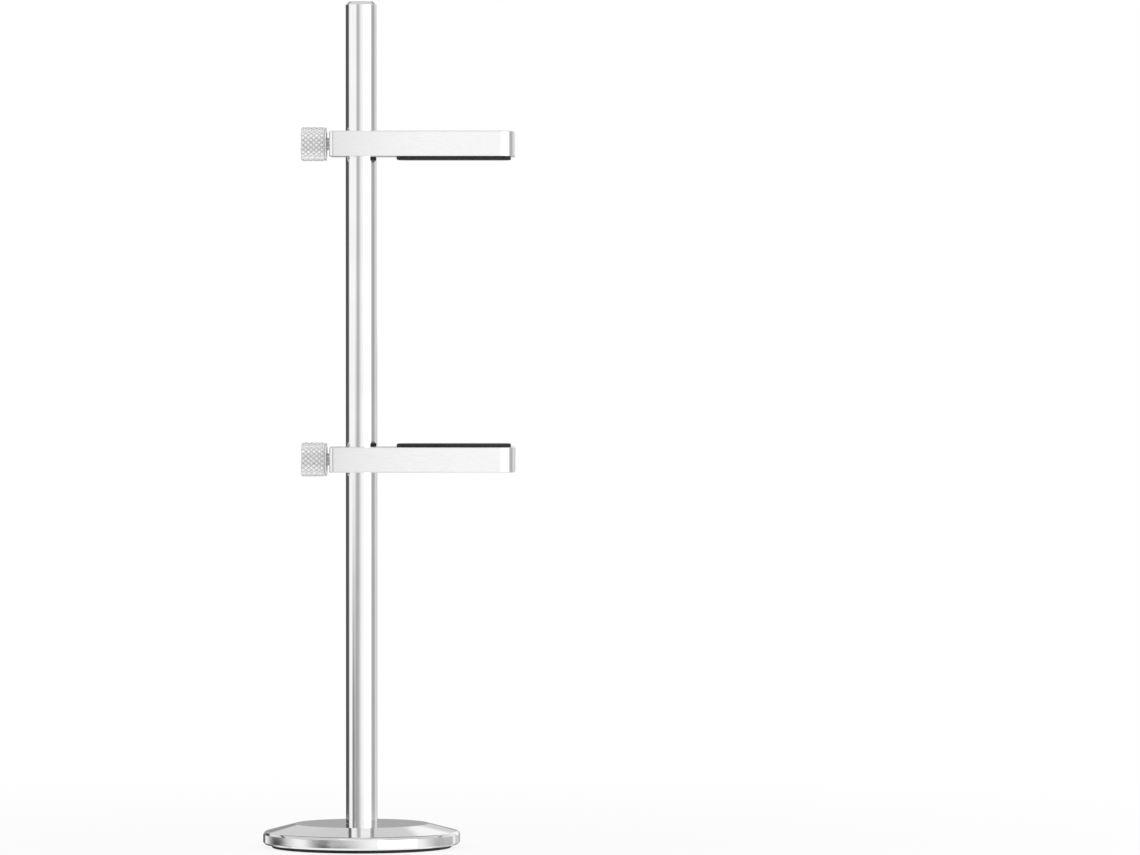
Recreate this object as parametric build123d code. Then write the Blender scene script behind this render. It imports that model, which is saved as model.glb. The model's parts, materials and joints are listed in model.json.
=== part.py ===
"""Graphics card support bracket: a round base, a polished rod and two sliding arms with thumbscrews.

The rod stands on the Z axis, the floor is at Z = 0 and both arms reach along +X, in millimetres.
"""
import os
from math import cos, pi, sin

from build123d import *

# Base: a turned disc with a straight rim and a shallow cone up to a flat top face
base_dia = 50.0
rim_height = 3.05
slope_rise = 2.1
slope_width = 8.0
rim_bevel = 0.5

# Foot pad: a rubber disc let into the underside of the base
foot_margin = 2.2
foot_recess = 0.5
foot_stand = 0.9

# Magnets: discs in blind pockets above the foot pad
magnet_count = 4
magnet_dia = 6.0
magnet_thickness = 2.0

# Base screw: a low-headed socket screw that draws the rod down into its socket
screw_dia = 4.0
screw_head_dia = 7.0
screw_head_height = 2.0
screw_engagement = 8.0
screw_key_width = 2.5
screw_key_depth = 1.2

# Rod
rod_dia = 8.0
overall_height = 214.6
rod_end_bevel = 0.8
rod_socket_depth = 1.0
rod_hole_spare = 2.0

# Arms: flat bars, bored for the rod at the heel and padded on the face that meets the card
upper_arm_drop = 36.1
arm_spacing = 80.0
arm_thickness = 6.4
arm_reach = 39.0
arm_side_wall = 3.1
arm_heel_wall = 3.1
arm_heel_radius = 1.2
arm_tip_radius = 4.0
arm_edge_bevel = 0.25

# Liners: split rings sprung into a groove between two lips of the arm's bore
liner_wall = 0.8
liner_split = 1.0
bore_lip = 0.8

# Arm pads: rubber strips let into the arms' inner faces
pad_start = 5.0
pad_tip_margin = 1.1
pad_side_margin = 1.0
pad_corner_radius = 3.0
pad_recess = 0.4
pad_stand = 0.8

# Thumbscrews: a knurled head fixed on a threaded stud, with a pressure tip on the stud's end
knob_dia = 8.6
knob_length = 6.5
knob_gap = 0.75
knob_collar = 0.45
knurl_count = 21
knurl_depth = 0.36
stud_dia = 3.0
stud_grip = 4.4
tip_dia = 2.4
tip_thickness = 0.7
tip_stem_dia = 1.5
tip_stem_length = 1.2

# Clearances, each on a radius or between two faces
seat_clearance = 0.05
slide_clearance = 0.05
swivel_clearance = 0.05
lip_clearance = 0.3
thread_clearance = 0.05
stem_clearance = 0.05
tip_clearance = 0.15

# Levels and radii worked out from the values above
base_radius = base_dia / 2
metal_bottom = foot_stand
rim_top = metal_bottom + rim_height
base_top = rim_top + slope_rise
foot_radius = base_radius - foot_margin
foot_top = metal_bottom + foot_recess
magnet_circle = (screw_head_dia / 2 + foot_radius) / 2
rod_radius = rod_dia / 2
rod_foot = base_top - rod_socket_depth
screw_top = rod_foot + screw_engagement
liner_bore = rod_radius + slide_clearance
liner_radius = liner_bore + liner_wall
liner_seat = liner_radius + swivel_clearance
liner_seat_height = arm_thickness - 2 * bore_lip
liner_height = liner_seat_height - 2 * swivel_clearance
lip_radius = rod_radius + lip_clearance
arm_width = 2 * (liner_seat + arm_side_wall)
arm_heel = liner_seat + arm_heel_wall
arm_length = arm_heel + arm_reach
arm_middle = (arm_reach - arm_heel) / 2
arm_face = arm_thickness / 2
pad_near = rod_radius + pad_start
pad_length = arm_reach - pad_tip_margin - pad_near
pad_middle = pad_near + pad_length / 2
pad_width = arm_width - 2 * pad_side_margin
pad_thickness = pad_recess + pad_stand
knob_radius = knob_dia / 2
knob_face = arm_heel + knob_gap
stud_radius = stud_dia / 2
stud_hole = stud_radius + thread_clearance
tip_face = liner_radius + tip_clearance
stud_end = tip_face + tip_thickness
stud_length = knob_face + stud_grip - stud_end
tip_stem_hole = tip_stem_length + stem_clearance
upper_arm_height = overall_height - upper_arm_drop
lower_arm_height = upper_arm_height - arm_spacing


def disc(radius, bottom, height):
    """A cylinder on the Z axis, standing on the given level."""
    return Pos(Z=bottom) * Cylinder(radius, height, align=(Align.CENTER, Align.CENTER, Align.MIN))


def along_screw(piece, start):
    """Lay a piece that was built up along Z on the thumbscrew's axis, pointing away from the rod."""
    return Pos(X=-start) * Rot(Y=-90) * piece


def magnet_places():
    """The magnets' places on their circle, with the first between +X and +Y."""
    return PolarLocations(magnet_circle, magnet_count, start_angle=180 / magnet_count)


def make_base():
    """The base: half its section with both rim corners bevelled, turned about Z and then bored."""
    outline = Polyline(
        (0, metal_bottom),
        (base_radius, metal_bottom),
        (base_radius, rim_top),
        (base_radius - slope_width, base_top),
        (0, base_top),
        close=True,
    )
    section = make_face(outline)
    rim_corners = section.vertices().group_by(Axis.X)[-1]
    base = revolve(Plane.XZ * chamfer(rim_corners, rim_bevel), Axis.Z)
    base -= disc(foot_radius + seat_clearance, metal_bottom, foot_recess)
    pocket = disc(magnet_dia / 2 + seat_clearance, foot_top, magnet_thickness + seat_clearance)
    base -= magnet_places() * pocket
    base -= disc(rod_radius + seat_clearance, rod_foot, rod_socket_depth)
    base -= disc(screw_dia / 2 + thread_clearance, foot_top, rod_foot - foot_top)
    return base - disc(screw_head_dia / 2 + seat_clearance, foot_top, screw_head_height)


def make_foot_pad():
    return disc(foot_radius, 0, foot_top)


def make_magnets():
    magnet = disc(magnet_dia / 2, foot_top, magnet_thickness)
    return [place * magnet for place in magnet_places()]


def make_base_screw():
    screw = disc(screw_head_dia / 2, foot_top, screw_head_height)
    screw += disc(screw_dia / 2, foot_top, screw_top - foot_top)
    key = RegularPolygon(screw_key_width / 2, 6, major_radius=False)
    return screw - Pos(Z=foot_top) * extrude(key, screw_key_depth)


def make_rod():
    rod = disc(rod_radius, rod_foot, overall_height - rod_foot)
    rod = chamfer(rod.edges().sort_by(Axis.Z)[-1], rod_end_bevel)
    return rod - disc(screw_dia / 2 + thread_clearance, rod_foot, screw_engagement + rod_hole_spare)


def arm_outline():
    """The arm seen from above: a bar with small corners at the heel and larger ones at the tip."""
    outline = Pos(X=arm_middle) * Rectangle(arm_length, arm_width)
    by_reach = outline.vertices().sort_by(Axis.X)
    outline = fillet(by_reach[:2], arm_heel_radius)
    by_reach = outline.vertices().sort_by(Axis.X)
    return fillet(by_reach[-2:], arm_tip_radius)


def pad_outline(margin):
    """The pad's outline, or with a margin that of the pocket that takes it."""
    length = pad_length + 2 * margin
    width = pad_width + 2 * margin
    return Pos(X=pad_middle) * RectangleRounded(length, width, pad_corner_radius + margin)


def make_arm():
    """An arm about the rod's axis, level with Z = 0 and with its padded face up."""
    arm = Pos(Z=-arm_face) * extrude(arm_outline(), arm_thickness)
    rims = arm.faces().sort_by(Axis.Z)
    arm = chamfer(rims[0].edges() + rims[-1].edges(), arm_edge_bevel)
    arm -= disc(lip_radius, -arm_face, arm_thickness)
    arm -= disc(liner_seat, -liner_seat_height / 2, liner_seat_height)
    arm -= Pos(Z=arm_face - pad_recess) * extrude(pad_outline(seat_clearance), pad_recess)
    return arm - along_screw(disc(stud_hole, 0, arm_heel), 0)


def make_pad():
    return Pos(Z=arm_face - pad_recess) * extrude(pad_outline(0), pad_thickness)


def make_liner():
    bottom = -liner_height / 2
    liner = disc(liner_radius, bottom, liner_height) - disc(liner_bore, bottom, liner_height)
    return liner - Pos(X=liner_radius) * Box(2 * liner_radius, liner_split, liner_height)


def knurled_bar(length):
    """A bar on Z with a diamond knurl: crests and groove crossings alternate on a grid round it.

    The grid's steps are half a diamond both ways, so the grooves lie near 45 degrees. Every cell is split
    along its groove, which leaves four flat flanks on each diamond. At both ends the crests are bevelled.
    """
    columns = 2 * knurl_count
    groove_radius = knob_radius - knurl_depth
    knurled_length = length - 2 * knurl_depth
    rows = max(2, round(knurled_length * knurl_count / (pi * knob_radius)))
    levels = [knurl_depth + knurled_length * row / rows for row in range(rows + 1)]
    levels = [0, *levels, length]
    last = len(levels) - 1

    def grid_point(row, column):
        on_crest = 0 < row < last and (row + column) % 2 == 0
        radius = knob_radius if on_crest else groove_radius
        angle = 2 * pi * column / columns
        return Vector(radius * cos(angle), radius * sin(angle), levels[row])

    def flat(*corners):
        return Face(Wire.make_polygon(corners, close=True))

    skin = [flat(*[grid_point(row, column) for column in range(columns)]) for row in (0, last)]
    for row in range(last):
        for column in range(columns):
            near_left = grid_point(row, column)
            near_right = grid_point(row, column + 1)
            far_right = grid_point(row + 1, column + 1)
            far_left = grid_point(row + 1, column)
            if (row + column) % 2 == 0:
                skin += [flat(near_left, near_right, far_left), flat(near_right, far_right, far_left)]
            else:
                skin += [flat(near_left, near_right, far_right), flat(near_left, far_right, far_left)]
    return Solid(Shell(skin))


def make_knob():
    """A thumbscrew head built up from the side that faces the arm: a plain collar, then the knurl."""
    head = disc(knob_radius - knurl_depth / 2, 0, knob_collar)
    head += Pos(Z=knob_collar) * knurled_bar(knob_length - knob_collar)
    head -= disc(stud_radius + seat_clearance, 0, stud_grip)
    return along_screw(head, knob_face)


def make_stud():
    stud = disc(stud_radius, 0, stud_length)
    stud -= disc(tip_stem_dia / 2 + stem_clearance, 0, tip_stem_hole)
    return along_screw(stud, stud_end)


def make_tip():
    tip = disc(tip_dia / 2, 0, tip_thickness) + disc(tip_stem_dia / 2, tip_thickness, tip_stem_length)
    return along_screw(tip, tip_face)


# Stand pieces, each where it stands
nodes = {
    "base": make_base(),
    "foot_pad": make_foot_pad(),
    "base_screw": make_base_screw(),
    "rod": make_rod(),
}
for number, magnet in enumerate(make_magnets(), start=1):
    nodes[f"magnet_{number}"] = magnet

# Clamp pieces: the lower set has its pad up, and the upper set is the same one turned over
clamp = {
    "arm": make_arm(),
    "pad": make_pad(),
    "liner": make_liner(),
    "knob": make_knob(),
    "stud": make_stud(),
    "tip": make_tip(),
}
for name, piece in clamp.items():
    nodes[f"lower_{name}"] = Pos(Z=lower_arm_height) * piece
    nodes[f"upper_{name}"] = Pos(Z=upper_arm_height) * Rot(X=180) * piece

os.makedirs("parts", exist_ok=True)
for name, shape in nodes.items():
    export_step(shape, f"parts/{name}.step")
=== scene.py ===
# %% [markdown]
# # A support bracket on a polished rod
# The bracket stands on the floor of a computer case and keeps a long, heavy part from sagging. A turned
# base carries a mirror-polished rod, and two padded arms slide and swivel on the rod until a thumbscrew
# locks them. The solids arrive as a frame in metres, with the floor at zero and the rod on the Z axis. This
# lesson dresses them: every piece that shows gets its softened edges, its knurl or thread, and a finish
# made of nodes.

# %% Load the frame
import json
from math import cos, degrees, pi, radians, sin, tan

import bmesh
import bpy
from mathutils import Matrix, Vector


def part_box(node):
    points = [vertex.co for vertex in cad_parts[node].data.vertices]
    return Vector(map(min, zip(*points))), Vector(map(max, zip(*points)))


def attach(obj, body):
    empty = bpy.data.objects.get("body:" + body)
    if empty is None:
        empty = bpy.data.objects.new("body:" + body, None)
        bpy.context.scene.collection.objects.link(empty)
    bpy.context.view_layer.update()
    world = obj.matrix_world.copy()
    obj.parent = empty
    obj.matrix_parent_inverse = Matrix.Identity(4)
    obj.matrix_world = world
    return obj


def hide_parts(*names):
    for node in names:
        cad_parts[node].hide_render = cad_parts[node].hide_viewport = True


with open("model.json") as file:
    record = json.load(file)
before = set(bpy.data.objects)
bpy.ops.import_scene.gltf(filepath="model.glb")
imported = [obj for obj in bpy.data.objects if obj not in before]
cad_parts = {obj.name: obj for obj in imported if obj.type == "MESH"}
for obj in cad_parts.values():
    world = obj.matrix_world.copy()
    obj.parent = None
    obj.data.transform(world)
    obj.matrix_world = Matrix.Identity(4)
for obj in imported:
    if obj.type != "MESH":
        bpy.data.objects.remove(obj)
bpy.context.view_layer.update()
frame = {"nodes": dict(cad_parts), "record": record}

print("nodes in the frame:", len(frame["nodes"]))

# %% [markdown]
# ## Measure before making
# A new piece fits without trying when its sizes are read from the solid that it stands for. The box of each
# node gives the outer sizes. What a box can't tell, such as a bevel or a bore, is written below as a value
# in millimetres, close to the piece that needs it.

# %% Read the main sizes
mm = 0.001
sides = ("lower", "upper")
base_low, base_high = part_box("base")
base_radius = base_high.x
rod_low, rod_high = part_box("rod")
rod_radius = rod_high.x
arm_low, arm_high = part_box("lower_arm")
arm_thickness = arm_high.z - arm_low.z
arm_face = arm_thickness / 2
arm_level = {side: sum(corner.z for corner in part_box(f"{side}_arm")) / 2 for side in sides}
print(f"base {2 * base_radius / mm:.1f} mm across, rod {2 * rod_radius / mm:.1f} mm")
print("arms at", {side: round(level / mm, 2) for side, level in arm_level.items()}, "mm")

# %% [markdown]
# ## Outlines with softened corners
# No machined edge is perfectly sharp, and the thin highlight along it is what tells the eye that a thing is
# solid. A modifier could bevel edges afterwards, but then every cut would be bevelled too. Here the corners
# are rounded in the flat outline instead, before it is turned or stretched, and each corner says its own
# radius.

# %% A closed outline from corners
def rounded_outline(corners, steps=6):
    """Points of a closed outline. Each corner is (x, y, radius), and a corner of radius 0 stays sharp."""
    points = []
    for number, (x, y, radius) in enumerate(corners):
        corner = Vector((x, y))
        if radius <= 0:
            points.append(corner)
            continue
        back = (Vector(corners[number - 1][:2]) - corner).normalized()
        ahead = (Vector(corners[(number + 1) % len(corners)][:2]) - corner).normalized()
        half = back.angle(ahead) / 2
        centre = corner + (back + ahead).normalized() * (radius / sin(half))
        start = corner + back * (radius / tan(half)) - centre
        end = corner + ahead * (radius / tan(half)) - centre
        for step in range(steps + 1):
            points.append(centre + start.slerp(end, step / steps).normalized() * radius)
    return points


print("a softened square has", len(rounded_outline([(0, 0, 1), (9, 0, 1), (9, 9, 1), (0, 9, 1)])), "points")

# %% [markdown]
# ## Flats that look flat
# A turned or milled piece is smooth where it curves and has a clear line at every true edge. Smooth shading
# alone would bend the look of a flat next to a rounding. So the normals are weighted by area, which lets
# the large face win, and edges steeper than the crease stay sharp.

# %% Settle a mesh
crease = radians(32)


def settle(shape, name):
    """Make a finished mesh an object, smooth apart from its true edges and with flats that look flat."""
    bmesh.ops.recalc_face_normals(shape, faces=shape.faces[:])
    mesh = bpy.data.meshes.new(name)
    shape.to_mesh(mesh)
    shape.free()
    piece = bpy.data.objects.new(name, mesh)
    bpy.context.scene.collection.objects.link(piece)
    soften(piece)
    return piece


def soften(piece):
    """Smooth shading, with normals weighted by area so that a large face keeps its own."""
    piece.data.shade_smooth()
    piece.data.set_sharp_from_angle(angle=crease)
    weighted = piece.modifiers.new("weighted_normals", "WEIGHTED_NORMAL")
    weighted.keep_sharp = True


print(f"edges above {degrees(crease):.0f} degrees stay sharp")

# %% [markdown]
# ## Turning
# The base, the rod and the thumbscrews come off a lathe, and the foot is just as round, so the script has a
# lathe too. It sweeps an outline of radius and height once round the Z axis. A radius may also be a
# function of the angle, and with that the same tool later cuts a knurl and a thread.

# %% A lathe
flats_a_turn = 192


def turned(name, outline, segments=flats_a_turn, woven=False):
    """Sweep a closed outline of (radius, height) round Z. A radius of 0 closes the piece on its axis.

    A woven skin is split along both diagonals in turn, the way the grooves of a knurl cross it.
    """
    shape = bmesh.new()
    angles = [2 * pi * step / segments for step in range(segments)]
    first_wavy = next((level for level, (radius, height) in enumerate(outline) if callable(radius)), 0)
    rings = []
    for radius, height in outline:
        if callable(radius):
            places = [(radius(angle), angle) for angle in angles]
        else:
            places = [(radius, angle) for angle in (angles if radius > 0 else angles[:1])]
        rings.append([shape.verts.new((r * cos(angle), r * sin(angle), height)) for r, angle in places])
    for level, (ring, following) in enumerate(zip(rings, rings[1:] + rings[:1])):
        for step in range(segments):
            corners = [ring[step % len(ring)], ring[(step + 1) % len(ring)]]
            corners += [following[(step + 1) % len(following)], following[step % len(following)]]
            corners = list(dict.fromkeys(corners))
            if woven and len(corners) == 4:
                turn = (level - first_wavy + step) % 2
                corners = corners[turn:] + corners[:turn]
                shape.faces.new(corners[:3])
                shape.faces.new([corners[0], *corners[2:]])
            elif len(corners) > 2:
                shape.faces.new(corners)
    return settle(shape, name)


print("the lathe cuts", flats_a_turn, "flats on a full turn unless it is told otherwise")

# %% [markdown]
# ## Finishes from nodes
# Each finish starts from the principled shader. Values that are the same all over, such as how metallic it
# is, sit on the shader's own sockets. What varies, such as the haze on polished plate or the grain of
# rubber, comes from noise in the piece's own coordinates, so it rides along when an arm slides or turns.
# First come tools that add a node, link it and pass a value on. The floor, the room and the screens use
# them again later.

# %% Add and link nodes
def socket_name(words):
    return words.replace("_", " ").title()


def add(finish, kind, **sockets):
    """A node of one kind, with values on its input sockets."""
    made = finish.node_tree.nodes.new("ShaderNode" + kind)
    for words, value in sockets.items():
        made.inputs[socket_name(words)].default_value = value
    return made


def link(finish, output, socket):
    finish.node_tree.links.new(output, socket)


def calculate(finish, operation, *values):
    """The result of a sum whose values are numbers or the outputs of other nodes."""
    made = add(finish, "Math")
    made.operation = operation
    for socket, value in zip(made.inputs, values):
        if isinstance(value, (int, float)):
            socket.default_value = value
        else:
            link(finish, value, socket)
    return made.outputs[0]


def spread(finish, value, smooth=False, **limits):
    """Carry a value from one range over to another, both from 0 to 1 unless the limits say otherwise."""
    made = add(finish, "MapRange", **limits)
    if smooth:
        made.interpolation_type = "SMOOTHSTEP"
    link(finish, value, made.inputs["Value"])
    return made.outputs["Result"]


def own_place(finish):
    """Where a point is in the piece's own coordinates."""
    return add(finish, "TexCoord").outputs["Object"]


def axis_letters(finish, place):
    """A place split into its X, Y and Z."""
    parts = add(finish, "SeparateXYZ")
    link(finish, place, parts.inputs[0])
    return parts.outputs


print("nodes are those of Blender", bpy.app.version_string)

# %% [markdown]
# ## Grain and rings
# A finish begins as one even colour. What makes it look used is noise: stretched along the brush for
# brushed metal, and taken along the distance from an axis for turned metal, which gives the fine rings of
# the tool.

# %% A new finish and its noise
grey_tint = 1.004


def grey(level):
    return (level, level, level * grey_tint)


def new_finish(name, colour, **steady):
    """A material whose steady values are set on the principled shader itself."""
    finish = bpy.data.materials.new(name)
    finish.use_nodes = True
    shader = shader_of(finish)
    shader.inputs["Base Color"].default_value = (*colour, 1)
    for words, value in steady.items():
        shader.inputs[socket_name(words)].default_value = value
    return finish


def shader_of(finish):
    return finish.node_tree.nodes["Principled BSDF"]


def grain(finish, size, stretch=(1, 1, 1), detail=3.0):
    """Noise with features of about the given size, longer along an axis where stretch is above 1."""
    scale = add(finish, "Mapping", scale=[1 / (size * way) for way in stretch])
    noise = add(finish, "TexNoise", scale=1.0, detail=detail)
    link(finish, own_place(finish), scale.inputs["Vector"])
    link(finish, scale.outputs["Vector"], noise.inputs["Vector"])
    return noise.outputs["Fac"]


def axis_distance(finish, unit, centre, along):
    """How far a place is from an axis through a centre, counted in the given unit."""
    across = [0 if letter == along else 1 / unit for letter in "XYZ"]
    moved = [-part * way for part, way in zip(centre, across)]
    shift = add(finish, "Mapping", location=moved, scale=across)
    away = add(finish, "VectorMath")
    away.operation = "LENGTH"
    link(finish, own_place(finish), shift.inputs["Vector"])
    link(finish, shift.outputs["Vector"], away.inputs[0])
    return away.outputs["Value"]


def turning_rings(finish, size, centre, along):
    """Noise that only changes with the distance from an axis, as the marks of turning do."""
    noise = add(finish, "TexNoise", scale=1.0, detail=2.0)
    noise.noise_dimensions = "1D"
    link(finish, axis_distance(finish, size, centre, along), noise.inputs["W"])
    return noise.outputs["Fac"]


print("a middle grey is", grey(0.5))

# %% [markdown]
# ## What the noise changes
# The noise then varies the roughness or the colour a little, or raises the surface by a fraction of a
# hair's width. It keeps near its middle, so only that part is spread over the range that a finish asks for.

# %% Vary roughness, colour and height
noise_middle = {"from_min": 0.3, "from_max": 0.7}


def vary_roughness(finish, noise, low, high):
    """Spread noise over a range of roughness."""
    varied = spread(finish, noise, to_min=low, to_max=high, **noise_middle)
    link(finish, varied, shader_of(finish).inputs["Roughness"])


def vary_colour(finish, noise, dark, light):
    """Drift between two close shades of the same colour."""
    mix = add(finish, "Mix")
    mix.data_type = "RGBA"
    colour_sockets = [socket for socket in mix.inputs if socket.type == "RGBA"]
    for socket, colour in zip(colour_sockets, (dark, light)):
        socket.default_value = (*colour, 1)
    link(finish, spread(finish, noise, **noise_middle), mix.inputs["Factor"])
    result = next(socket for socket in mix.outputs if socket.type == "RGBA")
    link(finish, result, shader_of(finish).inputs["Base Color"])


def roughen(finish, noise, depth, strength=1.0):
    """Raise the surface by the noise, up to a depth."""
    bump = add(finish, "Bump", strength=strength, distance=depth)
    link(finish, noise, bump.inputs["Height"])
    link(finish, bump.outputs["Normal"], shader_of(finish).inputs["Normal"])


print("noise counts between", noise_middle["from_min"], "and", noise_middle["from_max"])

# %% [markdown]
# ## Mirror-polished plate
# The rod and the base look almost black and white because they show the room and hardly any colour of their
# own. Such plate is never a perfect mirror: polishing leaves a faint haze that changes from place to place.
# A low roughness that drifts a little gives that haze, and a trace of fine grain keeps reflections from
# looking computed.

# %% Polished plate
haze_size = 9 * mm
streak_size = 0.7 * mm
scratch_size = 0.05 * mm
scratch_depth = 0.0002 * mm


def polished_plate(name, level, stretch):
    finish = new_finish(name, grey(level), metallic=1.0)
    haze = grain(finish, haze_size, detail=5.0)
    vary_colour(finish, haze, dark=grey(level - 0.03), light=grey(level + 0.02))
    vary_roughness(finish, grain(finish, streak_size, stretch), low=0.035, high=0.075)
    roughen(finish, grain(finish, scratch_size, stretch), scratch_depth)
    return finish


rod_finish = polished_plate("polished_rod_plate", 0.92, (1, 1, 12))
base_finish = polished_plate("polished_base_plate", 0.9, (6, 6, 1))
print("polished plate:", rod_finish.name, "and", base_finish.name)

# %% [markdown]
# ## Fine satin arms
# The arms are brushed very finely and anodised. A mirror would show the room, and bare cast metal would
# look flat and grey. A middle roughness, drawn out along the bar, gives the soft silver tone between the
# two, and only the rounded tip still shows a darker part of the room.

# %% Satin aluminium
anodised_patch = 14 * mm
brush_size = 0.3 * mm
brush_stretch = (6, 1, 1)
brush_scratch_stretch = (10, 1, 1)
brush_depth = 0.001 * mm


def fine_satin():
    finish = new_finish("fine_satin", grey(0.95), metallic=1.0)
    patches = grain(finish, anodised_patch, detail=4.0)
    scratches = grain(finish, scratch_size, brush_scratch_stretch, detail=2.0)
    vary_colour(finish, patches, dark=grey(0.94), light=grey(0.965))
    vary_roughness(finish, grain(finish, brush_size, brush_stretch), low=0.17, high=0.25)
    roughen(finish, scratches, brush_depth, strength=0.4)
    return finish


arm_finish = fine_satin()
print("aluminium:", arm_finish.name)

# %% [markdown]
# ## Rubber, nylon and plain steel
# The pads and the foot are moulded from matt black rubber. It is never quite black: dust and handling
# lighten it in soft patches. The hidden liners and tips are natural nylon, which lets a little light in.
# The studs and the base screw are plain steel, and the magnets have a bright nickel skin.

# %% Softer and darker finishes
def black_rubber():
    finish = new_finish("black_rubber", grey(0.015))
    dust = grain(finish, 5 * mm, detail=6.0)
    skin = grain(finish, 0.12 * mm, detail=4.0)
    vary_colour(finish, dust, dark=(0.008, 0.008, 0.008), light=(0.022, 0.022, 0.023))
    vary_roughness(finish, grain(finish, 0.8 * mm), low=0.55, high=0.8)
    roughen(finish, skin, depth=0.02 * mm, strength=0.5)
    return finish


def natural_nylon():
    ivory = (0.82, 0.8, 0.75)
    finish = new_finish("natural_nylon", ivory, subsurface_weight=0.2, subsurface_scale=0.3 * mm)
    vary_colour(finish, grain(finish, 2 * mm), dark=(0.78, 0.76, 0.7), light=(0.86, 0.85, 0.8))
    vary_roughness(finish, grain(finish, 0.3 * mm), low=0.35, high=0.5)
    return finish


def plain_steel(name, level, low, high):
    finish = new_finish(name, grey(level), metallic=1.0)
    vary_colour(finish, grain(finish, 1.5 * mm), dark=grey(level * 0.85), light=grey(level * 1.1))
    vary_roughness(finish, grain(finish, 0.1 * mm), low, high)
    roughen(finish, grain(finish, 0.04 * mm), depth=0.001 * mm, strength=0.4)
    return finish


rubber_finish = black_rubber()
nylon_finish = natural_nylon()
steel_finish = plain_steel("dark_steel", 0.62, low=0.25, high=0.4)
nickel_finish = plain_steel("nickel_skin", 0.7, low=0.12, high=0.25)
print("materials so far, with the frame's own:", len(bpy.data.materials))

# %% [markdown]
# ## Putting a piece in its place
# A new piece takes over from a node of the frame: it rides on the same body, so that it moves with it. The
# record already knows that body, so the script asks it and can't get it wrong. A node that stays as it is
# only changes its finish.

# %% Stand for a node, or refinish it
record = frame["record"]
body_of_node = {node: body for body, nodes in record["behaviour"]["bodies"].items() for node in nodes}


def stand_for(piece, node, finish):
    """Let a piece take the place of a node of the frame."""
    piece.data.materials.clear()
    piece.data.materials.append(finish)
    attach(piece, body_of_node[node])
    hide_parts(node)
    print(piece.name, "stands for", node, "with", len(piece.data.polygons), "faces")


def refinish(node, finish):
    """Give a node of the frame a better finish and leave its shape alone."""
    materials = frame["nodes"][node].data.materials
    materials.clear()
    materials.append(finish)


# %% [markdown]
# ## The base
# One steel blank, turned: a straight rim, a shallow cone and a flat top face where the rod stands. Below it
# has a recess for the foot and pockets for four magnets. The rim's bevels catch the light as two bright
# lines, so each of their edges gets its own small radius. The pockets can't be turned, so they are cut in
# the next cell.

# %% Turn the base
rim_height = 3.05 * mm
rim_bevel = 0.5 * mm
slope_width = 8 * mm
edge_radius = 0.12 * mm
shoulder_radius = 0.9 * mm
seat_clearance = 0.05 * mm
foot_low, foot_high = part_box("foot_pad")
foot_radius = foot_high.x
screw_head_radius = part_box("base_screw")[1].x + seat_clearance
screw_hole_radius = 2.05 * mm
screw_head_height = 2 * mm

rim_top = base_low.z + rim_height
slope = (base_high.z - rim_top) / slope_width
recess_radius = foot_radius + seat_clearance
socket_radius = rod_radius + seat_clearance
head_seat = foot_high.z + screw_head_height
base_outline = rounded_outline([
    (recess_radius, base_low.z, edge_radius),
    (base_radius - rim_bevel, base_low.z, edge_radius),
    (base_radius, base_low.z + rim_bevel, edge_radius),
    (base_radius, rim_top - rim_bevel, edge_radius),
    (base_radius - rim_bevel, rim_top + rim_bevel * slope, shoulder_radius),
    (base_radius - slope_width, base_high.z, edge_radius),
    (socket_radius, base_high.z, edge_radius),
    (socket_radius, rod_low.z, 0),
    (screw_hole_radius, rod_low.z, 0),
    (screw_hole_radius, head_seat, 0),
    (screw_head_radius, head_seat, 0),
    (screw_head_radius, foot_high.z, 0),
    (recess_radius, foot_high.z, 0),
])
turned_base = turned("turned_base", base_outline, segments=256)
print("base outline has", len(base_outline), "points")

# %% [markdown]
# ## Cutting
# A pocket is cut by a solid of its own shape, which is thrown away afterwards. Each cutter reaches a little
# past the face that it opens, so that no thin skin is left there.

# %% Cut the magnet pockets
def carve(piece, *cutters):
    """Cut other solids out of a piece and throw them away."""
    piece.modifiers.clear()
    for cutter in cutters:
        cut = piece.modifiers.new("cut", "BOOLEAN")
        cut.operation = "DIFFERENCE"
        cut.solver = "EXACT"
        cut.object = cutter
    bpy.context.view_layer.update()
    result = piece.evaluated_get(bpy.context.evaluated_depsgraph_get())
    carved = bpy.data.meshes.new_from_object(result)
    piece.modifiers.clear()
    piece.data = carved
    for cutter in cutters:
        bpy.data.objects.remove(cutter)
    soften(piece)


def plug(name, radius, bottom, top, place):
    """A plain cylinder for cutting, set upright at a place."""
    cutter = turned(name, [(0, bottom), (radius, bottom), (radius, top), (0, top)], segments=64)
    cutter.location = place
    return cutter


magnets = [f"magnet_{number}" for number in range(1, 5)]
cutter_overrun = 0.2 * mm
pocket_cutters = []
for magnet in magnets:
    magnet_low, magnet_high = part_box(magnet)
    middle = (magnet_low + magnet_high) / 2
    pocket_radius = (magnet_high.x - magnet_low.x) / 2 + seat_clearance
    bottom, top = magnet_low.z - cutter_overrun, magnet_high.z + seat_clearance
    pocket_cutters.append(plug(f"{magnet}_pocket", pocket_radius, bottom, top, (middle.x, middle.y, 0)))
carve(turned_base, *pocket_cutters)
stand_for(turned_base, "base", base_finish)

# %% [markdown]
# ## The foot
# A rubber disc let into the base. It stands a little proud of the metal, and shows as a thin black line
# under the rim. Rubber can't keep a sharp corner, so its lower edge is rounder than the edges of the rim
# above it.

# %% Mould the foot
foot_edge = 0.2 * mm
foot_outline = rounded_outline([
    (0, foot_low.z, 0),
    (foot_radius, foot_low.z, foot_edge),
    (foot_radius, foot_high.z, 0),
    (0, foot_high.z, 0),
])
stand_for(turned("moulded_foot", foot_outline), "foot_pad", rubber_finish)

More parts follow.
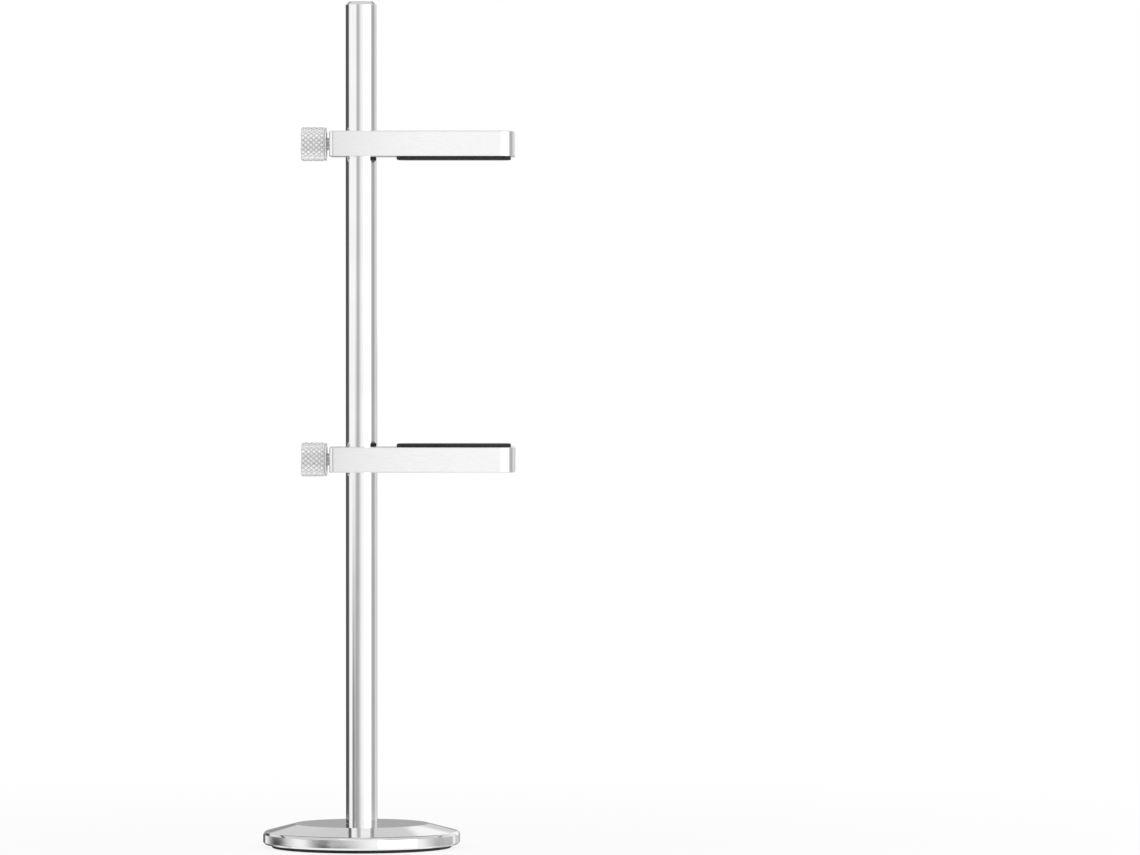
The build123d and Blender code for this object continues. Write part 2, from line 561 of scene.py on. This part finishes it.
# %% [markdown]
# ## The rod
# A ground and plated bar with a bevelled top end and a tapped hole below, where the base screw pulls it
# down. The bevel is a clean cone with hardly broken edges, and it shows as a small bright cap.

# %% Turn the rod
rod_bevel = 0.8 * mm
rod_edge = 0.1 * mm
rod_hole_depth = 10 * mm
rod_outline = rounded_outline([
    (0, rod_low.z + rod_hole_depth, 0),
    (screw_hole_radius, rod_low.z + rod_hole_depth, 0),
    (screw_hole_radius, rod_low.z, 0),
    (rod_radius, rod_low.z, 0),
    (rod_radius, rod_high.z - rod_bevel, rod_edge),
    (rod_radius - rod_bevel, rod_high.z, rod_edge),
    (0, rod_high.z, 0),
])
stand_for(turned("polished_rod", rod_outline), "rod", rod_finish)

# %% [markdown]
# ## The arms
# A flat bar with small corners at the heel and larger ones at the tip. The bar is built as a stack of
# outlines: near the top and bottom face each is drawn in a little, and that rounds the rims. Bore, pad
# pocket and stud hole are then cut out, as a machinist would do it. The lower arm has its padded face up,
# and the upper one is the same arm turned over.

# %% A flat bar with rounded rims
def slab(name, outline, bottom, top, rim, steps=4):
    """Stack an outline from bottom to top.

    The outline is a function of how far it is drawn in, and rim is the radius of the edges.
    """
    turns = [pi / 2 * step / steps for step in range(steps + 1)]
    rising = [(rim * (1 - sin(turn)), rim * (1 - cos(turn))) for turn in turns]
    levels = [(drawn_in, bottom + height) for drawn_in, height in rising]
    levels += [(drawn_in, top - height) for drawn_in, height in reversed(rising)]
    shape = bmesh.new()
    rings = []
    for drawn_in, height in levels:
        rings.append([shape.verts.new((*point, height)) for point in outline(drawn_in)])
    for ring, above in zip(rings, rings[1:]):
        for step in range(len(ring)):
            following = (step + 1) % len(ring)
            shape.faces.new([ring[step], ring[following], above[following], above[step]])
    shape.faces.new(rings[0])
    shape.faces.new(rings[-1])
    return settle(shape, name)


def bar_outline(near, far, half_width, near_radius, far_radius):
    """The outline of a bar along X, as a function of how far it is drawn in."""
    def drawn(by):
        return rounded_outline([
            (near + by, -half_width + by, near_radius - by),
            (far - by, -half_width + by, far_radius - by),
            (far - by, half_width - by, far_radius - by),
            (near + by, half_width - by, near_radius - by),
        ], steps=8)
    return drawn


clamp_place = {
    "lower": Matrix.Translation((0, 0, arm_level["lower"])),
    "upper": Matrix.Translation((0, 0, arm_level["upper"])) @ Matrix.Rotation(pi, 4, "X"),
}
print("a bar's outline has", len(bar_outline(0, 9, 3, 1, 1)(0)), "points")

# %% [markdown]
# ## The bore
# The rod passes through the heel of the arm. Its bore has a groove for the plastic liner between two lips,
# and both mouths have a small bevel, as a tool leaves it that takes the burr off. All of that is round, so
# one turned cutter makes it in a single cut.

# %% A cutter for the bore
lip_radius = 4.3 * mm
lip_height = 0.8 * mm
liner_seat = 4.9 * mm
mouth_bevel = 0.2 * mm
spare = 1 * mm


def bore_cutter():
    """The arm's bore: a groove for the liner between two lips with bevelled mouths."""
    groove = arm_face - lip_height
    mouth = lip_radius + mouth_bevel
    return turned("bore_cutter", [
        (0, -arm_face - spare),
        (mouth, -arm_face - spare),
        (mouth, -arm_face),
        (lip_radius, mouth_bevel - arm_face),
        (lip_radius, -groove),
        (liner_seat, -groove),
        (liner_seat, groove),
        (lip_radius, groove),
        (lip_radius, arm_face - mouth_bevel),
        (mouth, arm_face),
        (mouth, arm_face + spare),
        (0, arm_face + spare),
    ], segments=128)


print(f"lips {2 * lip_radius / mm:.1f} mm across, groove {2 * liner_seat / mm:.1f} mm")

# %% [markdown]
# ## Milling the arms
# The pad sits in a shallow pocket, and the stud goes through the heel. Everything is drawn with the arm
# level at zero and its padded face up, because cuts are easiest to place there. The finished arm is then
# moved to its place on the rod.

# %% Make both arms
arm_rim = 0.25 * mm
heel_radius = 1.2 * mm
tip_radius = 4 * mm
pocket_corner = 0.05 * mm
stud_hole_radius = 1.55 * mm
pad_low, pad_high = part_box("lower_pad")
pad_recess = arm_high.z - pad_low.z
pad_corner = 3 * mm
along_screw = Matrix.Rotation(-pi / 2, 4, "Y")


def make_arm(side):
    bar = bar_outline(arm_low.x, arm_high.x, arm_high.y, heel_radius, tip_radius)
    arm = slab(f"{side}_bar", bar, -arm_face, arm_face, arm_rim)
    seat_radius = pad_corner + seat_clearance
    seat_start, seat_end = pad_low.x - seat_clearance, pad_high.x + seat_clearance
    pad_seat = bar_outline(seat_start, seat_end, pad_high.y + seat_clearance, seat_radius, seat_radius)
    pocket = slab("pad_pocket", pad_seat, arm_face - pad_recess, arm_face + spare, pocket_corner, steps=1)
    heel = -arm_low.x
    stud_hole = turned("stud_hole", [
        (0, liner_seat - spare),
        (stud_hole_radius, liner_seat - spare),
        (stud_hole_radius, heel - mouth_bevel),
        (stud_hole_radius + mouth_bevel, heel),
        (stud_hole_radius + mouth_bevel, heel + spare),
        (0, heel + spare),
    ], segments=64)
    stud_hole.data.transform(along_screw)
    carve(arm, bore_cutter(), pocket, stud_hole)
    arm.data.transform(clamp_place[side])
    stand_for(arm, f"{side}_arm", arm_finish)


for side in sides:
    make_arm(side)

# %% [markdown]
# ## The pads
# Two rubber strips, let into the arms and standing proud of them, so that metal never touches what they
# hold. They are moulded with a soft rim, as the foot is, so the tool that stacked the bars makes them too.

# %% Mould the pads
pad_rim = 0.25 * mm
pad_top = pad_high.z - arm_level["lower"]
pad_bottom = pad_low.z - arm_level["lower"]
for side in sides:
    strip = bar_outline(pad_low.x, pad_high.x, pad_high.y, pad_corner, pad_corner)
    pad = slab(f"{side}_rubber_strip", strip, pad_bottom, pad_top, pad_rim)
    pad.data.transform(clamp_place[side])
    stand_for(pad, f"{side}_pad", rubber_finish)

# %% [markdown]
# ## The thumbscrews' heads
# A diamond knurl is two sets of V grooves that wind round the head, one to the left and one to the right,
# and leave small lands between them. For each point of the skin the script asks how far it is from the
# nearest groove of either set, and lowers it by the deeper of the two. A real tool does just that, so no
# diamond has to be drawn.

# %% The skin of a knurl
knob_low, knob_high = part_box("lower_knob")
knob_radius = (knob_high.z - knob_low.z) / 2
knob_length = knob_high.x - knob_low.x
collar = 0.45 * mm
knurl_count = 21
knurl_depth = 0.3 * mm
knurl_width = 0.4
samples_a_groove = 10
knurl_levels = 44


def groove_share(turns):
    """1 on the bottom of a groove and 0 on a land, for a place counted in grooves."""
    off_centre = abs(turns - round(turns))
    return max(0.0, 1 - 2 * off_centre / knurl_width)


def knurled_radius(along, most):
    """The skin's radius at one level, as a function of the angle round the head."""
    winding = along / (knob_length - collar) * knurl_levels / samples_a_groove

    def radius(angle):
        around = knurl_count * angle / (2 * pi)
        deepest = max(groove_share(around + winding), groove_share(around - winding))
        return min(most, knob_radius - knurl_depth * deepest)
    return radius


print(f"{knurl_count} grooves each way, {2 * pi * knob_radius / knurl_count / mm:.2f} mm apart")

# %% [markdown]
# ## A bright finish with painted shade in the grooves
# Turning leaves fine rings round the screw's axis, which show best on the flat end. The bright skin is part
# metal and part fine matt scatter. Towards the bottom of the grooves the colour is dimmed: painted shade
# that follows the depth below the lands. The flat end is left out of that.

# %% Turned aluminium
turning_mark = 0.06 * mm
turning_depth = 0.0015 * mm
# Painted shade: the grey that the colour is dimmed to at the bottom of the knurl's grooves.
painted_groove_grey = 0.76
land_depth = 0.3 * knurl_depth
end_zone = (0.1 * mm, 0.15 * mm)


def bright_turned(side):
    finish = new_finish(f"bright_turned_{side}", grey(0.97), metallic=0.6)
    vary_colour(finish, grain(finish, 2 * mm), dark=grey(0.96), light=grey(0.985))
    axis = (0, 0, arm_level[side])
    marks = turning_rings(finish, turning_mark, axis, "X")
    vary_roughness(finish, marks, low=0.22, high=0.34)
    roughen(finish, marks, turning_depth, strength=0.5)
    # Painted shade in the grooves of the knurl.
    paint_groove_shade(finish, axis)
    return finish


def paint_groove_shade(finish, axis):
    """Paint shade into the grooves: dim the colour towards their bottom."""
    # Full colour on the lands and on the flat end, painted shade below the lands.
    from_axis = axis_distance(finish, mm, axis, "X")
    raised = spread(finish, from_axis, from_min=(knob_radius - knurl_depth) / mm,
                    from_max=(knob_radius - land_depth) / mm)
    along = axis_letters(finish, own_place(finish))["X"]
    on_end = spread(finish, along, from_min=knob_low.x + end_zone[0], from_max=knob_low.x + end_zone[1],
                    to_min=1, to_max=0)
    bright = calculate(finish, "MAXIMUM", raised, on_end)
    colour = shader_of(finish).inputs["Base Color"]
    dim = add(finish, "VectorMath")
    dim.operation = "SCALE"
    link(finish, colour.links[0].from_socket, dim.inputs[0])
    # The colour is scaled down towards the groove bottoms as painted shade.
    link(finish, spread(finish, bright, to_min=painted_groove_grey), dim.inputs["Scale"])
    link(finish, dim.outputs["Vector"], colour)


knob_finish = {side: bright_turned(side) for side in sides}
print("turned:", [finish.name for finish in knob_finish.values()])

# %% [markdown]
# ## Turning the heads
# A head is built up from the side that faces the arm: the hole for the stud, a plain collar, the knurl
# level by level, and an end with a shallow dish. Near both ends of the knurl the radius is capped, and that
# makes the bevel.

# %% Knurl the heads
collar_radius = knob_radius - 0.1 * mm
collar_edge = 0.1 * mm
collar_face = knob_radius - 0.25 * mm
end_bevel = 0.3 * mm
end_dish = 0.08 * mm
dish_radius = 0.8 * knob_radius
stud_grip = 4.4 * mm


def make_knob(side):
    """A head from the arm outwards: the hole for the stud, a plain collar, the knurl and a dished end."""
    outline = [
        (0, stud_grip),
        (stud_hole_radius, stud_grip),
        (stud_hole_radius, 0),
        (collar_face, 0),
        (collar_radius, collar_edge),
        (collar_radius, collar - collar_edge),
        (knob_radius - knurl_depth, collar),
    ]
    for level in range(knurl_levels + 1):
        along = collar + (knob_length - collar) * level / knurl_levels
        from_end = min(along - collar, knob_length - along)
        most = knob_radius - max(0.0, end_bevel - from_end)
        outline.append((knurled_radius(along - collar, most), along))
    outline += [
        (knob_radius - 2 * end_bevel, knob_length),
        (dish_radius, knob_length - end_dish),
        (0, knob_length - end_dish),
    ]
    head = turned(f"{side}_knurled_head", outline, knurl_count * samples_a_groove, woven=True)
    head.data.transform(clamp_place[side] @ Matrix.Translation((knob_high.x, 0, 0)) @ along_screw)
    stand_for(head, f"{side}_knob", knob_finish[side])


for side in sides:
    make_knob(side)

# %% [markdown]
# ## The studs
# Each head is fixed on a short M3 stud that screws through the arm's heel. Its pitch is half a millimetre,
# the same value that couples the screw's turn to its travel. The thread is one ridge that climbs by a pitch
# on every turn, so again the radius is a function of the angle. It runs out before the head, where a plain
# neck shows.

# %% Cut the threads
stud_low, stud_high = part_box("lower_stud")
stud_radius = (stud_high.z - stud_low.z) / 2
stud_length = stud_high.x - stud_low.x
stem_hole_radius = 0.8 * mm
stem_hole_depth = 1.25 * mm
thread_pitch = 0.5 * mm
thread_depth = 0.3 * mm
thread_lead_in = 0.3 * mm
thread_run_out = 0.25 * mm
plain_neck = 0.7 * mm
levels_a_pitch = 10
flank_steepness = 2.7
thread_length = stud_length - stud_grip - plain_neck


def thread_radius(along):
    """The stud's radius at one level, as a function of the angle round it."""
    def radius(angle):
        turn = (along / thread_pitch - angle / (2 * pi)) % 1
        crest = min(1.0, max(0.0, flank_steepness * (0.5 - abs(turn - 0.5))))
        lead_in = max(0.0, thread_lead_in - along)
        run_out = min(1.0, max(0.0, (thread_length - along) / thread_run_out))
        return min(stud_radius - lead_in, stud_radius - run_out * thread_depth * (1 - crest))
    return radius


stud_levels = round(levels_a_pitch * stud_length / thread_pitch)
for side in sides:
    outline = [(0, stem_hole_depth), (stem_hole_radius, stem_hole_depth), (stem_hole_radius, 0)]
    for level in range(stud_levels + 1):
        along = stud_length * level / stud_levels
        outline.append((thread_radius(along), along))
    outline.append((0, stud_length))
    stud = turned(f"{side}_threaded_stud", outline, segments=48)
    stud.data.transform(clamp_place[side] @ Matrix.Translation((stud_high.x, 0, 0)) @ along_screw)
    stand_for(stud, f"{side}_stud", steel_finish)

# %% [markdown]
# ## Pieces that stay as they are
# The liners, the tips, the base screw and the magnets sit inside the others and hardly show. Their solids
# are right already, so they keep them and only change their finish.

# %% Refinish the inner pieces
for side in sides:
    refinish(f"{side}_liner", nylon_finish)
    refinish(f"{side}_tip", nylon_finish)
refinish("base_screw", steel_finish)
for magnet in magnets:
    refinish(magnet, nickel_finish)

# %% [markdown]
# ## Paints for the stage
# Floor, room and screens aren't part of the bracket, so they may do what no real paint can. They look
# different to the eye than to the light that falls on them, and one layer fades into another.

# %% Tools for stage paint
def white_to_the_eye(finish):
    """1 for rays from the camera, from a reflection or through glass, and 0 for light that only falls."""
    path = add(finish, "LightPath").outputs
    mirrored = calculate(finish, "MAXIMUM", path["Is Camera Ray"], path["Is Glossy Ray"])
    return calculate(finish, "MAXIMUM", mirrored, path["Is Transmission Ray"])


def blended_paint(name, share, under, over):
    """A paint that shows one shader under another, by a share that is worked out on the paint itself."""
    paint = bpy.data.materials.new(name)
    paint.use_nodes = True
    paint.node_tree.nodes.remove(shader_of(paint))
    blend = add(paint, "MixShader")
    link(paint, share(paint), blend.inputs["Fac"])
    for number, (kind, colour) in enumerate((under, over), start=1):
        layer = add(paint, kind, color=(*colour, 1))
        link(paint, layer.outputs[0], blend.inputs[number])
    link(paint, blend.outputs[0], paint.node_tree.nodes["Material Output"].inputs["Surface"])
    return paint


print("materials before the stage:", len(bpy.data.materials))

# %% [markdown]
# ## Floor
# The picture has a plain white ground. The floor is a large pale sheet. What the camera sees of it is
# partly its own white and partly the light that falls on it, so that it stays white and still keeps the
# soft shadow under the base. Farther off its own white takes over. Reflections pass the floor by, and see
# the room below it.

# %% Lay the floor
floor_half = 30.0
floor_grey = 0.9
own_white_near = 0.82
shadow_reach = 0.35


def own_white(paint):
    """How much of the floor is its own white: less near the base, and none where light only falls on it."""
    away = axis_distance(paint, 1, (0, 0, 0), "Z")
    near_less = spread(paint, away, smooth=True, from_max=shadow_reach, to_min=own_white_near)
    return calculate(paint, "MULTIPLY", white_to_the_eye(paint), near_less)


floor_shape = bmesh.new()
bmesh.ops.create_grid(floor_shape, x_segments=1, y_segments=1, size=floor_half)
floor = settle(floor_shape, "pale_floor")
matt = ("BsdfDiffuse", (floor_grey, floor_grey, floor_grey))
glow = ("Emission", (1, 1, 1))
floor.data.materials.append(blended_paint("floor_paint", own_white, matt, glow))
floor.visible_glossy = False
print("floor reaches", floor_half, "m each way")

# %% [markdown]
# ## Room
# The room beyond the floor is white to the eye and to the metal. Overhead it turns grey, so that the upper
# faces stand out from the white floor when the bracket is seen from above. The grey starts lower in front
# than behind, because in the picture the base's cone shows the lower part of the room behind it. What falls
# on the object is steady, whatever the ceiling's grey.

# %% Paint the room
room_fill = 0.9
ceiling_grey = 0.68
ceiling_start = 0.1
ceiling_full = 0.5
ceiling_lean = -0.3

world = bpy.data.worlds.new("white_room")
bpy.context.scene.world = world
world.use_nodes = True
way = axis_letters(world, add(world, "TexCoord").outputs["Generated"])
lean = calculate(world, "MULTIPLY_ADD", way["Y"], ceiling_lean, 1.0)
raised = calculate(world, "MULTIPLY", lean, way["Z"])
room_shade = spread(world, raised, smooth=True, from_min=ceiling_start, from_max=ceiling_full,
                    to_min=1.0, to_max=ceiling_grey)
strength = add(world, "MapRange", to_min=room_fill)
link(world, room_shade, strength.inputs["To Max"])
link(world, white_to_the_eye(world), strength.inputs["Value"])
background = world.node_tree.nodes["Background"]
background.inputs["Color"].default_value = (1, 1, 1, 1)
link(world, strength.outputs["Result"], background.inputs["Strength"])
print("room light on the object:", room_fill)

# %% [markdown]
# ## Screens for the polished metal
# In an empty white room polished metal is just white. In a studio grey screens stand around it, outside the
# picture, and their reflections draw the dark lines that show the form. Each screen here is a strip of a
# wide cylinder round the rod. Its paint fades out towards the edges, because a hard edge would show as a
# line.

# %% Paint with soft edges
def screen_paint(name, shade, edges):
    """A steady grey that fades out from inner to outer at each edge (axis, outer, inner) of a screen."""
    def solid_share(paint):
        across = axis_letters(paint, add(paint, "UVMap").outputs[0])
        fades = [spread(paint, across[axis], smooth=True, from_min=outer, from_max=inner)
                 for axis, outer, inner in edges]
        share = fades[0]
        for fade in fades[1:]:
            share = calculate(paint, "MULTIPLY", share, fade)
        return share

    paint = blended_paint(name, solid_share, ("BsdfTransparent", (1, 1, 1)), ("Emission", grey(shade)))
    paint.cycles.emission_sampling = "NONE"
    return paint


print("white is", grey(1.0))

# %% [markdown]
# ## Standing a screen
# A screen's place is said as on a compass: its distance from the rod in metres, and the bearings of its two
# edges in degrees, with the camera at zero and the right side at 90. Then come the heights of its lower and
# upper edge, its grey, and how wide the soft edges are. Only reflections see the screens, so they cast no
# shadow. Where two overlap by much they stand at different distances, because faces that coincide flicker.

# %% A strip of a cylinder
near = 0.15
nearer = 0.145
far = 1.2
less_far = 1.188
farther = 1.212
behind = 1.23
screen_columns = 72
screens = []


def screen(name, distance, bearings, heights, shade, soft_across, soft_up):
    """A grey screen. Bearings and soft_across are pairs in degrees, heights and soft_up pairs in metres."""
    (start, stop), (low, high) = bearings, heights
    shape = bmesh.new()
    flat = shape.loops.layers.uv.new("screen")
    columns = []
    for column in range(screen_columns + 1):
        bearing = radians(start + (stop - start) * column / screen_columns)
        x, y = distance * sin(bearing), -distance * cos(bearing)
        columns.append([shape.verts.new((x, y, height)) for height in heights])
    for column, (left, right) in enumerate(zip(columns, columns[1:])):
        face = shape.faces.new([left[0], right[0], right[1], left[1]])
        for loop, (u, v) in zip(face.loops, ((0, 0), (1, 0), (1, 1), (0, 1))):
            loop[flat].uv = ((column + u) / screen_columns, v)
    mesh = bpy.data.meshes.new(name)
    shape.to_mesh(mesh)
    shape.free()
    width, height = stop - start, high - low
    edges = [("X", 0, soft_across[0] / width), ("X", 1, 1 - soft_across[1] / width)]
    edges += [("Y", 0, soft_up[0] / height), ("Y", 1, 1 - soft_up[1] / height)]
    mesh.materials.append(screen_paint(name + "_paint", shade, edges))
    made = bpy.data.objects.new(name, mesh)
    bpy.context.scene.collection.objects.link(made)
    made.visible_camera = False
    made.visible_diffuse = False
    made.visible_shadow = False
    made.visible_transmission = False
    screens.append(made)


print("screens stand", near, "or", far, "m from the rod")

# %% [markdown]
# ## Screens beside the bracket
# The rod shows a narrow strip of the room all round. A dark screen far back on the left gives its dark left
# edge, a grey one close in front the soft middle stripe, and two on the right the grey edge there. The
# close one fades out to the right, and the flat arms, which look past that soft edge from heel to tip, grow
# lighter. Two low screens darken the lower part of the rod.

# %% Screens for the rod and the arms
far_band = (-0.0785, 0.45)
far_soft = (0.002, 0.1)
screen("dark_left_screen", far, (-166, -94), far_band, 0.09, (8, 15), far_soft)
screen("right_screen", far, (70, 118), far_band, 0.42, (19, 9), far_soft)
screen("far_right_screen", farther, (106, 160), far_band, 0.72, (10, 12), far_soft)
screen("left_screen", near, (-42, 6), (-0.0049, 0.28), 0.48, (16, 30), (0.0008, 0.04))
screen("low_left_screen", nearer, (-73, -44), (-0.0052, 0.108), 0.25, (8, 9), (0.0008, 0.098))
screen("low_middle_screen", nearer, (-50, -18), (-0.0052, 0.184), 0.37, (8, 18), (0.0008, 0.178))
print("screens so far:", len(screens))

# %% [markdown]
# ## Screens below
# The camera looks down on the base a little, so the rim shows the room just below the level of the floor.
# These screens hang there and draw its dark and light stretches. They are seen because reflections pass the
# floor by. They also give the arms' sides a tone when the bracket is seen from above.

# %% Screens for the rim
below = (-1.2, -0.0785)
below_soft = (0.1, 0.002)
screen("rim_far_left_screen", farther, (-180, -147), below, 0.08, (5, 14), below_soft)
screen("rim_dark_screen", far, (-152, -74), below, 0.08, (32, 42), below_soft)
screen("rim_left_screen", farther, (-72, -28), below, 0.2, (22, 18), below_soft)
screen("rim_dip_screen", less_far, (-54, -32), (-0.3, -0.0785), 0.07, (8, 10), below_soft)
screen("rim_front_screen", far, (-44, 18), below, 0.36, (8, 44), below_soft)
screen("rim_right_screen", far, (72, 141), below, 0.46, (32, 10), below_soft)
screen("low_right_screen", far, (14, 80), (-2.2, -0.1), 0.66, (10, 14), (0.1, 0.015))
screen("rim_far_right_screen", farther, (140, 168), below, 0.62, (6, 8), below_soft)
print("screens so far:", len(screens))

# %% [markdown]
# ## Screens behind and above
# The top face of the base and its cone show the room behind the bracket. A small screen there gives the
# cone the dark band on its far left. In the cone the rod is mirrored too, and that image shows a strip high
# up in the room: dark, white and grey, as on the rod itself. The white one overhead brightens the upper
# flanks of the heads.

# %% Screens for the upper faces
high_band = (0.73, 0.89)
high_soft = (0.07, 0.07)
screen("low_back_screen", behind, (150, 210), (-2.2, 0.14), 0.4, (8, 8), (0.1, 0.03))
screen("high_back_screen", behind, (175.05, 216), (0.11, 0.95), 0.67, (0.6, 8), (0.03, 0.06))
screen("left_cone_screen", farther, (183.6, 200), (0.08, 0.29), 0.3, (0.8, 6), (0.02, 0.07))
screen("high_left_screen", far, (-170, -93), high_band, 0.1, (4, 14), high_soft)
screen("high_front_screen", far, (-97, 84), high_band, 1.0, (4, 6), (0.04, 0.04))
screen("high_strip_screen", far, (172, 175.2), (0.2, 0.7), 1.0, (0.5, 0.3), (0.05, 0.05))
screen("overhead_screen", far, (-60, 60), (1.2, 4.2), 1.0, (20, 20), (0.3, 1.2))
screen("high_right_screen", far, (80, 146), high_band, 0.34, (18, 12), high_soft)
screen("top_back_screen", behind, (140, 220), (0.89, 3.2), 0.16, (10, 10), (0.06, 0.5))
print("screens:", ", ".join(made.name for made in screens))

# %% [markdown]
# ## Light
# Soft light from all round comes from the white room. One broad lamp stands to the right and in front. It
# is the white strip on the rod and on the rim, and it throws the faint shadow on the floor.

# %% Stand the lamp
lamp_size = (1.0, 0.4)
lamp_power = 1.44
lamp_place = Vector((0.785, -0.788, 0.1))
lamp_target = Vector((0.01, 0, 0.1))

lamp_data = bpy.data.lights.new("broad_lamp", "AREA")
lamp_data.shape = "RECTANGLE"
lamp_data.size, lamp_data.size_y = lamp_size
lamp_data.energy = lamp_power
lamp = bpy.data.objects.new("broad_lamp", lamp_data)
lamp.location = lamp_place
lamp.rotation_mode = "QUATERNION"
lamp.rotation_quaternion = (lamp_target - lamp_place).to_track_quat("-Z", "Y")
bpy.context.scene.collection.objects.link(lamp)
print("lamps:", len(bpy.data.lights))

# %% [markdown]
# ## The camera
# The picture was taken from far off with a long lens, nearly level with the arms: the base shows as a thin
# ellipse and the arms as plain bars. The camera's place follows from the scale of the picture and the
# height at which a level circle would turn into a line.

# %% Place the camera
picture_width = 1140
pixels_a_mm = 3.94
rod_in_picture = 361.5
middle_level = 106.6 * mm
camera_distance = 1830 * mm
camera_level = 134.3 * mm

camera_data = bpy.data.cameras.new("long_lens")
camera_data.sensor_width = 36
camera_data.lens = pixels_a_mm / mm * camera_distance / picture_width * camera_data.sensor_width
camera_data.clip_end = 200
camera = bpy.data.objects.new("long_lens", camera_data)
sideways = (picture_width / 2 - rod_in_picture) / pixels_a_mm * mm
camera.location = (sideways, -camera_distance, camera_level)
aim = Vector((sideways, 0, middle_level))
camera.rotation_mode = "QUATERNION"
camera.rotation_quaternion = (aim - camera.location).to_track_quat("-Z", "Y")
bpy.context.scene.collection.objects.link(camera)
bpy.context.scene.camera = camera
bpy.context.scene.view_settings.view_transform = "Standard"
print(f"lens {camera_data.lens:.0f} mm at {camera_distance:.2f} m")
